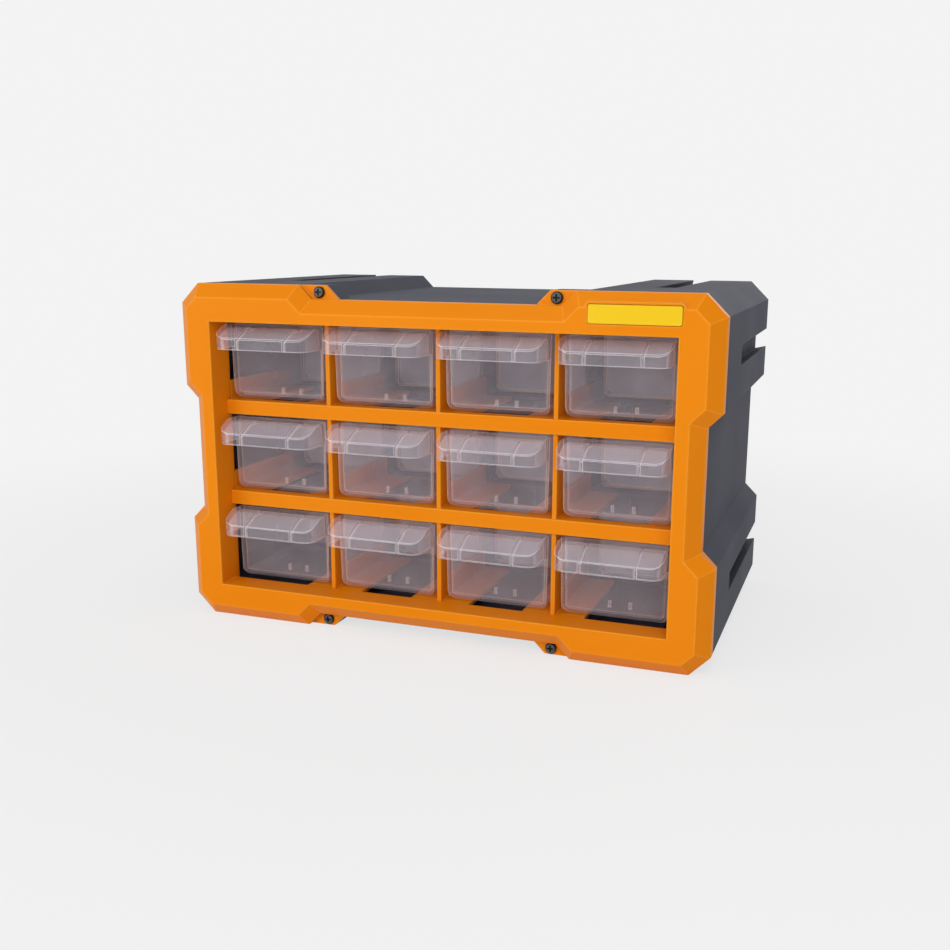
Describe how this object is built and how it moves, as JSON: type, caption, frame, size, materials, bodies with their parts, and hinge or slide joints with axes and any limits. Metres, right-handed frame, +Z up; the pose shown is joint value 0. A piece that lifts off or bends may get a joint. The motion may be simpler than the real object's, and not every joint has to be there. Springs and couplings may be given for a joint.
{
  "type": "small parts cabinet",
  "caption": "Bench-top parts cabinet: a dark plastic casing with joiner slots, an orange front frame and rows of clear hooded drawers that slide out, each with a divider.",
  "frame": {"origin": "middle of the bounding box on the surface that the cabinet stands on", "axes": "+X along the width to the right, +Y to the back, +Z up; the drawers open along -Y"},
  "size_m": [0.265, 0.162, 0.168],
  "materials": {
    "dark_plastic": "satin",
    "orange_plastic": "satin",
    "clear_plastic": "clear",
    "black_steel": "black",
    "yellow_plate": "gloss"
  },
  "bodies": {
    "cabinet": {"casing": "dark_plastic", "rear_grid": "dark_plastic", "front_frame": "orange_plastic", "runner_grid": "orange_plastic", "frame_screws": "black_steel", "front_plate": "yellow_plate"},
    "drawer_r1c1_with_divider": {"drawer_r1c1": "clear_plastic", "divider_r1c1": "clear_plastic"},
    "drawer_r1c2_with_divider": {"drawer_r1c2": "clear_plastic", "divider_r1c2": "clear_plastic"},
    "drawer_r1c3_with_divider": {"drawer_r1c3": "clear_plastic", "divider_r1c3": "clear_plastic"},
    "drawer_r1c4_with_divider": {"drawer_r1c4": "clear_plastic", "divider_r1c4": "clear_plastic"},
    "drawer_r2c1_with_divider": {"drawer_r2c1": "clear_plastic", "divider_r2c1": "clear_plastic"},
    "drawer_r2c2_with_divider": {"drawer_r2c2": "clear_plastic", "divider_r2c2": "clear_plastic"},
    "drawer_r2c3_with_divider": {"drawer_r2c3": "clear_plastic", "divider_r2c3": "clear_plastic"},
    "drawer_r2c4_with_divider": {"drawer_r2c4": "clear_plastic", "divider_r2c4": "clear_plastic"},
    "drawer_r3c1_with_divider": {"drawer_r3c1": "clear_plastic", "divider_r3c1": "clear_plastic"},
    "drawer_r3c2_with_divider": {"drawer_r3c2": "clear_plastic", "divider_r3c2": "clear_plastic"},
    "drawer_r3c3_with_divider": {"drawer_r3c3": "clear_plastic", "divider_r3c3": "clear_plastic"},
    "drawer_r3c4_with_divider": {"drawer_r3c4": "clear_plastic", "divider_r3c4": "clear_plastic"}
  },
  "joints": [
    {"name": "drawer_r1c1_slide", "type": "slide", "parent": "cabinet", "child": "drawer_r1c1_with_divider", "axis": [0, -1, 0], "range_m": [0, 0.1]},
    {"name": "drawer_r1c2_slide", "type": "slide", "parent": "cabinet", "child": "drawer_r1c2_with_divider", "axis": [0, -1, 0], "range_m": [0, 0.1]},
    {"name": "drawer_r1c3_slide", "type": "slide", "parent": "cabinet", "child": "drawer_r1c3_with_divider", "axis": [0, -1, 0], "range_m": [0, 0.1]},
    {"name": "drawer_r1c4_slide", "type": "slide", "parent": "cabinet", "child": "drawer_r1c4_with_divider", "axis": [0, -1, 0], "range_m": [0, 0.1]},
    {"name": "drawer_r2c1_slide", "type": "slide", "parent": "cabinet", "child": "drawer_r2c1_with_divider", "axis": [0, -1, 0], "range_m": [0, 0.1]},
    {"name": "drawer_r2c2_slide", "type": "slide", "parent": "cabinet", "child": "drawer_r2c2_with_divider", "axis": [0, -1, 0], "range_m": [0, 0.1]},
    {"name": "drawer_r2c3_slide", "type": "slide", "parent": "cabinet", "child": "drawer_r2c3_with_divider", "axis": [0, -1, 0], "range_m": [0, 0.1]},
    {"name": "drawer_r2c4_slide", "type": "slide", "parent": "cabinet", "child": "drawer_r2c4_with_divider", "axis": [0, -1, 0], "range_m": [0, 0.1]},
    {"name": "drawer_r3c1_slide", "type": "slide", "parent": "cabinet", "child": "drawer_r3c1_with_divider", "axis": [0, -1, 0], "range_m": [0, 0.1]},
    {"name": "drawer_r3c2_slide", "type": "slide", "parent": "cabinet", "child": "drawer_r3c2_with_divider", "axis": [0, -1, 0], "range_m": [0, 0.1]},
    {"name": "drawer_r3c3_slide", "type": "slide", "parent": "cabinet", "child": "drawer_r3c3_with_divider", "axis": [0, -1, 0], "range_m": [0, 0.1]},
    {"name": "drawer_r3c4_slide", "type": "slide", "parent": "cabinet", "child": "drawer_r3c4_with_divider", "axis": [0, -1, 0], "range_m": [0, 0.1]}
  ]
}
